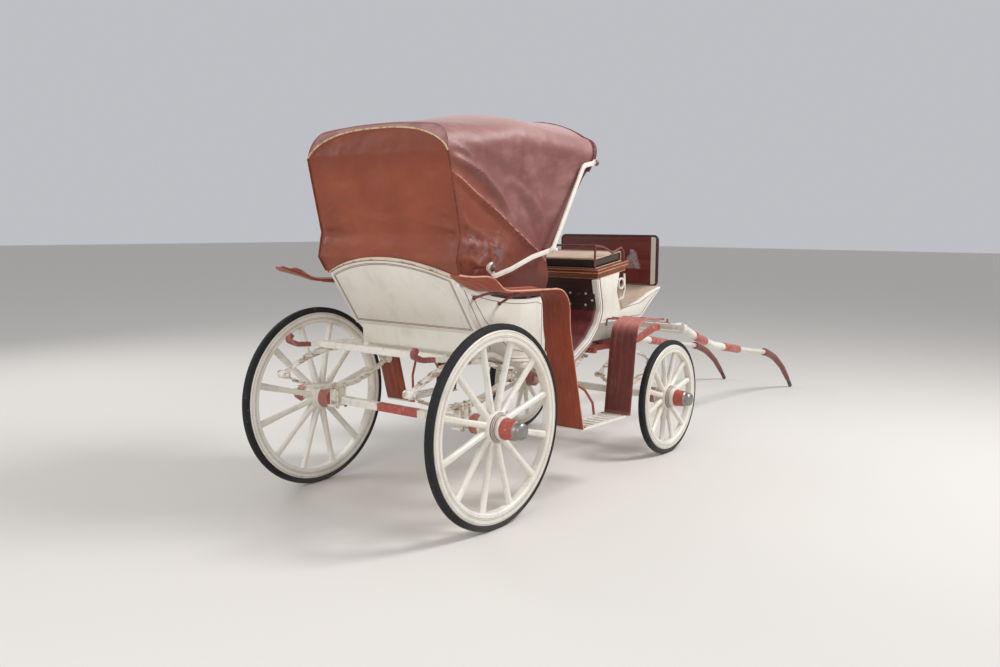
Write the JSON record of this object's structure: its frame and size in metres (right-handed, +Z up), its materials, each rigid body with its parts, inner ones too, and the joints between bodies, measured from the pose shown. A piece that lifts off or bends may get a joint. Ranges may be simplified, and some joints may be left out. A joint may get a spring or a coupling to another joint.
{
  "type": "horse drawn carriage",
  "caption": "Light wheeled carriage with a folding leather hood over the rear seat, a driver's seat in front, a turning fore carriage and shafts for a horse.",
  "frame": {"origin": "on the ground, in the middle of the box that holds the carriage", "axes": "+X forward, +Y to the left, +Z up"},
  "size_m": [5.7568, 1.762, 2.2375],
  "materials": {
    "white_wood": "painted, worn",
    "white_iron": "painted, rusty at the edges",
    "wheel_wood": "painted, lined",
    "tyre": "worn",
    "hub_steel": "dull",
    "hood_leather": "worn, creased",
    "wing_leather": "satin",
    "dark_board": "varnished, worn",
    "seat_wood": "varnished",
    "seat_leather": "worn",
    "dark_iron": "painted",
    "red_iron": "painted",
    "shaft_wood": "painted"
  },
  "bodies": {
    "body": {"rear_panel": "white_wood", "quarter_panels": "white_wood", "rockers": "white_wood", "boot_sides": "white_wood", "body_floor": "white_wood", "toe_board": "dark_board", "bench": "seat_wood", "passenger_cushion": "seat_leather", "passenger_back": "seat_leather", "seat_frame": "seat_wood", "driver_cushion": "seat_leather", "seat_rail": "dark_iron", "scroll_brackets": "white_iron", "footboard": "white_wood", "dashboard": "dark_board", "dash_frame": "dark_iron", "rear_wings": "wing_leather", "front_wings": "wing_leather", "steps": "white_iron", "step_stays": "red_iron", "wing_stays": "dark_iron", "rear_carrier": "white_iron", "hood_props": "white_iron", "hood_leather": "hood_leather", "boot_bearers": "white_wood", "upper_plate": "dark_iron", "rear_axle": "white_iron", "rear_springs": "white_iron"},
    "fore_carriage": {"lower_plate": "dark_iron", "fore_bed": "white_wood", "futchells": "red_iron", "splinter_bar": "white_iron", "swingletree": "red_iron", "front_axle": "white_iron", "front_springs": "white_iron"},
    "shafts": {"shafts": "shaft_wood"},
    "hood_front": {"hood_front_bow": "seat_wood", "hood_arms": "white_iron"},
    "hood_mid": {"hood_mid_bow": "seat_wood"},
    "hood_rear": {"hood_rear_bow": "seat_wood"},
    "wheel_rear_left": {"wheel_rear_left": "wheel_wood", "tyre_rear_left": "tyre", "hub_rear_left": "hub_steel"},
    "wheel_rear_right": {"wheel_rear_right": "wheel_wood", "tyre_rear_right": "tyre", "hub_rear_right": "hub_steel"},
    "wheel_front_left": {"wheel_front_left": "wheel_wood", "tyre_front_left": "tyre", "hub_front_left": "hub_steel"},
    "wheel_front_right": {"wheel_front_right": "wheel_wood", "tyre_front_right": "tyre", "hub_front_right": "hub_steel"}
  },
  "joints": [
    {"name": "steer", "type": "hinge", "parent": "body", "child": "fore_carriage", "pos_m": [-0.3135, 0, 0.76], "axis": [0, 0, 1], "range_deg": [-30, 30]},
    {"name": "shafts_lift", "type": "hinge", "parent": "fore_carriage", "child": "shafts", "pos_m": [0.4015, 0, 0.812], "axis": [0, -1, 0], "range_deg": [0, 60]},
    {"name": "hood_fold", "type": "hinge", "parent": "body", "child": "hood_front", "pos_m": [-1.7225, 0, 1.443], "axis": [0, -1, 0], "range_deg": [0, 106], "deforming": ["hood_leather"]},
    {"name": "hood_mid_fold", "type": "hinge", "parent": "body", "child": "hood_mid", "pos_m": [-1.7225, 0, 1.443], "axis": [0, -1, 0], "range_deg": [0, 60]},
    {"name": "hood_rear_fold", "type": "hinge", "parent": "body", "child": "hood_rear", "pos_m": [-1.7225, 0, 1.443], "axis": [0, -1, 0], "range_deg": [0, 34]},
    {"name": "wheel_rear_left_spin", "type": "hinge", "parent": "body", "child": "wheel_rear_left", "pos_m": [-2.3385, 0.698, 0.54], "axis": [0, 1, 0], "continuous": true},
    {"name": "wheel_rear_right_spin", "type": "hinge", "parent": "body", "child": "wheel_rear_right", "pos_m": [-2.3385, -0.698, 0.54], "axis": [0, 1, 0], "continuous": true},
    {"name": "wheel_front_left_spin", "type": "hinge", "parent": "fore_carriage", "child": "wheel_front_left", "pos_m": [-0.3135, 0.637, 0.398], "axis": [0, 1, 0], "continuous": true},
    {"name": "wheel_front_right_spin", "type": "hinge", "parent": "fore_carriage", "child": "wheel_front_right", "pos_m": [-0.3135, -0.637, 0.398], "axis": [0, 1, 0], "continuous": true}
  ],
  "couplings": [
    {"joint": "hood_mid_fold", "follows": "hood_fold", "ratio": 0.557},
    {"joint": "hood_rear_fold", "follows": "hood_fold", "ratio": 0.311}
  ]
}
